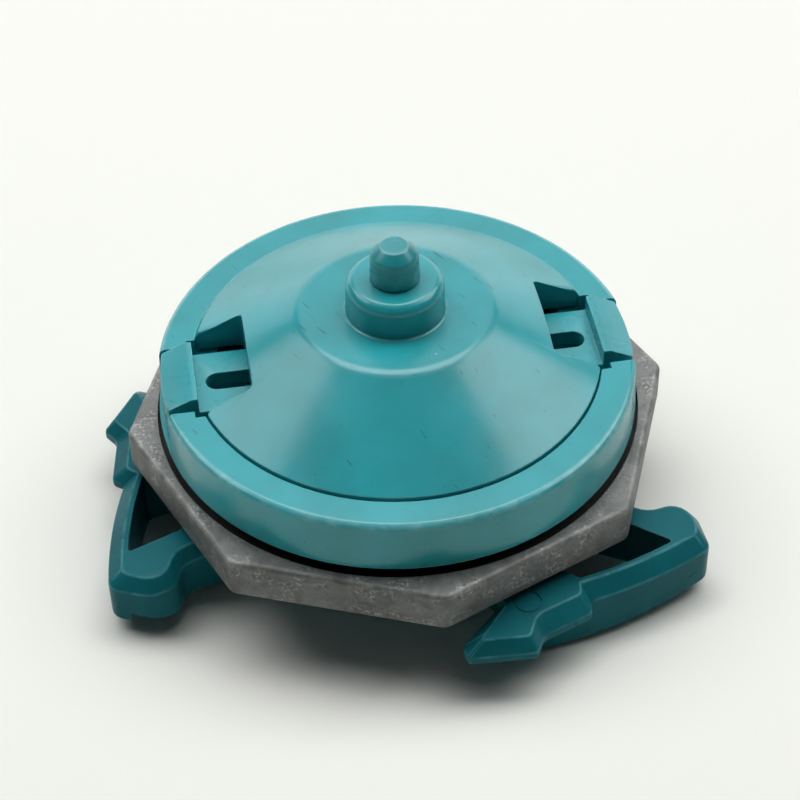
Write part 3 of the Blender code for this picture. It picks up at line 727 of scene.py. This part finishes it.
def make_wing():
    arm = [point for point, _ in eased([*WING_END, (*ARM_INNER_CORNER, 1.5), WING_ROOT[0]], False)]
    wall = wall_arc(WALL_ROOT_Y, WALL_TIP_Y)
    outline = arm + [Vector(point) for point in WING_ROOT[1:]] + wall
    insets = [CHAMFER_OUT] * (len(arm) - 1) + [0.0] * len(WING_ROOT)
    insets += [WALL_CHAMFER] * (len(wall) - 1) + [CHAMFER_OUT]
    wing = raised(outline, 0.0, WING_TOP_Z, inset_outline(outline, insets), CHAMFER_DROP)
    for vert in wing.verts:
        if vert.co.z < 1.0:
            reach = vert.co.xy.length - wall_point(WALL_TIP_Y).length
            vert.co.z = max(WING_LOWEST_Z, WALL_TIP_Z + WALL_SLOPE * reach)
    softened(wing, 0.7, where=lambda edge: is_upright(edge) and all(vert.co.x > 22.5 for vert in edge.verts))
    softened(wing, 0.18, sharper_than=25.0)
    corners = [tuple(point) for point in arc((0, 0), HOLE_INNER_R, -25.0, 0.2, 8)]
    corners.append((*wall_point(0.05, WALL_THICK), 0.2))
    corners += [tuple(point) for point in wall_arc(-0.9, -7.05, WALL_THICK)]
    hole = [point for point, _ in eased(corners, True)]
    wing = carved(wing, raised(hole, -5.0, 20.0))
    softened(wing, 0.12, sharper_than=60.0,
             where=lambda edge: all(vert.co.z > WING_TOP_Z - 0.01 for vert in edge.verts))
    outline = [Vector((HOLE_INNER_R, -0.3))]
    outline += wall_arc(-0.3, 5.6, WALL_THICK - 0.2)
    outline.append(Vector((HOLE_INNER_R, 5.6)))
    under = raised(outline, -5.0, ARM_UNDERSIDE_Z)
    for vert in under.verts:
        if vert.co.z > 0.0:
            vert.co.z += WALL_SLOPE * (vert.co.x - ARM_UNDERSIDE_X)
    wing = carved(wing, under)
    foot, top = hook_outlines()
    block = raised(foot, BLOCK_BOTTOM_Z, WING_TOP_Z, top, CHAMFER_DROP)
    softened(block, 0.35, where=lambda edge: is_upright(edge) and edge.is_convex)
    softened(block, 0.15, sharper_than=25.0, where=lambda edge: edge.is_convex)
    mark_inner = EJECTOR_MARK_R - EJECTOR_MARK_WIDTH
    mark_z = WING_TOP_Z - EJECTOR_MARK_DEPTH
    profile = [(mark_inner, 7.0), (EJECTOR_MARK_R, 7.0), (EJECTOR_MARK_R, mark_z), (mark_inner, mark_z)]
    mark = turned(profile, 48)
    bmesh.ops.translate(mark, vec=(*EJECTOR_MARK, 0.0), verts=mark.verts)
    return carved(carved(wing, block, "UNION"), mark)


def make_attack_ring(material):
    profile = [
        (0.0, HUB_FLOOR_Z),
        (HUB_WELL_R, HUB_FLOOR_Z),
        (HUB_WELL_R, HUB_TOP_Z),
        (HUB_R, HUB_TOP_Z, 0.3),
        (HUB_FOOT_R, 0.0, 0.6),
        (CHIP_SEAT_R, 0.0, 0.2),
        (CHIP_SEAT_R, CHIP_SEAT_Z),
        (0.0, CHIP_SEAT_Z),
    ]
    ring = turned(profile, 96, closed=False)
    for angle in (90, 270):
        ring = carved(ring, ring_sector(*SOCKET_R, angle, SOCKET_HALF_ANGLE, -5.0, SOCKET_TOP_Z))
    for angle in (0, 180):
        joined(ring, ring_sector(*LUG_R, angle, LUG_HALF_ANGLE, *LUG_Z))
    for index in range(WING_COUNT):
        joined(ring, rotated(make_wing(), WING_ANGLE + 360.0 / WING_COUNT * index))
    finished("attack_ring_moulding", ring, material, "ring", "attack_ring")


def make_camera():
    elevation = math.radians(CAMERA_ELEVATION)
    back = Vector((0.0, -math.cos(elevation), math.sin(elevation)))
    right = Matrix.Rotation(math.radians(CAMERA_ROLL), 3, back) @ Vector((1.0, 0.0, 0.0))
    up = back.cross(right)
    turn = Matrix.Rotation(math.radians(CAMERA_TURN), 4, "Z")
    pose = Matrix((right, up, back)).transposed().to_4x4()
    pose.translation = Vector(CAMERA_AT) * MM
    camera = bpy.data.objects.new("photo_camera", bpy.data.cameras.new("photo_camera"))
    bpy.context.scene.collection.objects.link(camera)
    camera.matrix_world = turn @ pose
    camera.data.lens = CAMERA_LENS
    camera.data.sensor_width = CAMERA_SENSOR
    camera.data.clip_start = 0.01
    bpy.context.scene.camera = camera


def make_light(name, azimuth, elevation, distance, size, power, lights=True, mirrored=True):
    """Soft box aimed at the top; it may light surfaces, show in gloss, or both.

    Its direction is in degrees, its distance and size are in metres and its power is in watts.
    """
    lamp = bpy.data.lights.new(name, "AREA")
    lamp.shape = "RECTANGLE"
    lamp.size = size[0]
    lamp.size_y = size[1]
    lamp.energy = power
    light = bpy.data.objects.new(name, lamp)
    bpy.context.scene.collection.objects.link(light)
    round_by = math.radians(azimuth + CAMERA_TURN)
    up_by = math.radians(elevation)
    level = math.cos(up_by)
    away = Vector((math.cos(round_by) * level, math.sin(round_by) * level, math.sin(up_by)))
    light.location = away * distance
    light.rotation_mode = "QUATERNION"
    light.rotation_quaternion = away.to_track_quat("Z", "Y")
    light.visible_diffuse = lights
    light.visible_glossy = mirrored


def make_studio():
    bm = bmesh.new()
    bmesh.ops.create_grid(bm, x_segments=1, y_segments=1, size=3.0)
    mesh = bpy.data.meshes.new("floor")
    bm.to_mesh(mesh)
    bm.free()
    floor = bpy.data.objects.new("floor", mesh)
    bpy.context.scene.collection.objects.link(floor)
    paper, tree, shader = new_material("paper_sweep_matte")
    shader.inputs["Base Color"].default_value = linear("F1F2EC")
    shader.inputs["Roughness"].default_value = 0.9
    mesh.materials.append(paper)
    make_light("strip_box_above", 90, 74, 0.6, (1.3, 0.32), 6.1, mirrored=False)
    make_light("white_card_above", 90, 66, 0.6, (0.42, 0.2), 1.5, lights=False)
    make_light("white_ceiling", 90, 88, 1.2, (1.4, 1.4), 1.5, lights=False)
    make_light("white_sweep_behind", 90, 14, 0.8, (1.9, 0.5), 5.4, lights=False)
    make_light("white_card_back", 90, 46, 0.7, (0.6, 0.35), 0.95, lights=False)
    make_light("white_card_left", 165, 44, 0.5, (0.36, 0.28), 1.1, lights=False)
    make_light("white_card_right", 15, 45, 0.5, (0.36, 0.3), 1.5, lights=False)
    world = bpy.data.worlds.new("studio")
    world.use_nodes = True
    sky = world.node_tree.nodes["Background"]
    sky.inputs["Color"].default_value = linear("F4F6F7")
    sky.inputs["Strength"].default_value = 0.04
    bpy.context.scene.world = world
    bpy.context.scene.view_settings.view_transform = "Standard"


def main():
    teal = moulded_abs("abs_moulded_teal", "279FA9", "239299", "93D2D4", "0E4A50", 0.2, gloss=0.4)
    lock_teal = moulded_abs("abs_moulded_lock", "279FA9", "239299", "93D2D4", "0E4A50", 0.28, gloss=0.4)
    # Painted shade: the attack ring is the same teal plastic as the rest, given a darker copy of its colours
    # and little gloss to stand for the shade it lies in under the disc.
    teal_painted_shade = moulded_abs("abs_moulded_deep_teal", "156871", "125D66", "5FAFB6", "0A353A", 0.3, gloss=0.06)
    tip_teal = moulded_abs("abs_moulded_tip", "24949C", "1E858C", "8CC5C6", "0E4A50", 0.28, gloss=0.4)
    white = moulded_abs("abs_moulded_white", "D9D8D2", "CFCEC7", "F2F1EC", "8D8C86", 0.4)
    grey = moulded_abs("abs_moulded_grey", "8D9294", "82888A", "C3C7C8", "565B5D", 0.45)
    zinc = cast_zinc()
    make_tip_pin(tip_teal)
    make_cone(teal)
    make_rim(teal)
    make_lock("lock_tab_right_moulding", 0, lock_teal, "right_lock", "lock_tab_right")
    make_lock("lock_tab_left_moulding", 180, lock_teal, "left_lock", "lock_tab_left")
    make_weight_disc(zinc)
    make_attack_ring(teal_painted_shade)
    for node, material in (("centre_chip", white), ("gear_case_front", grey), ("gear_case_rear", grey),
                           ("gear_core", grey)):
        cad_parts[node].data.materials.clear()
        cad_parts[node].data.materials.append(material)
    make_camera()
    make_studio()


main()
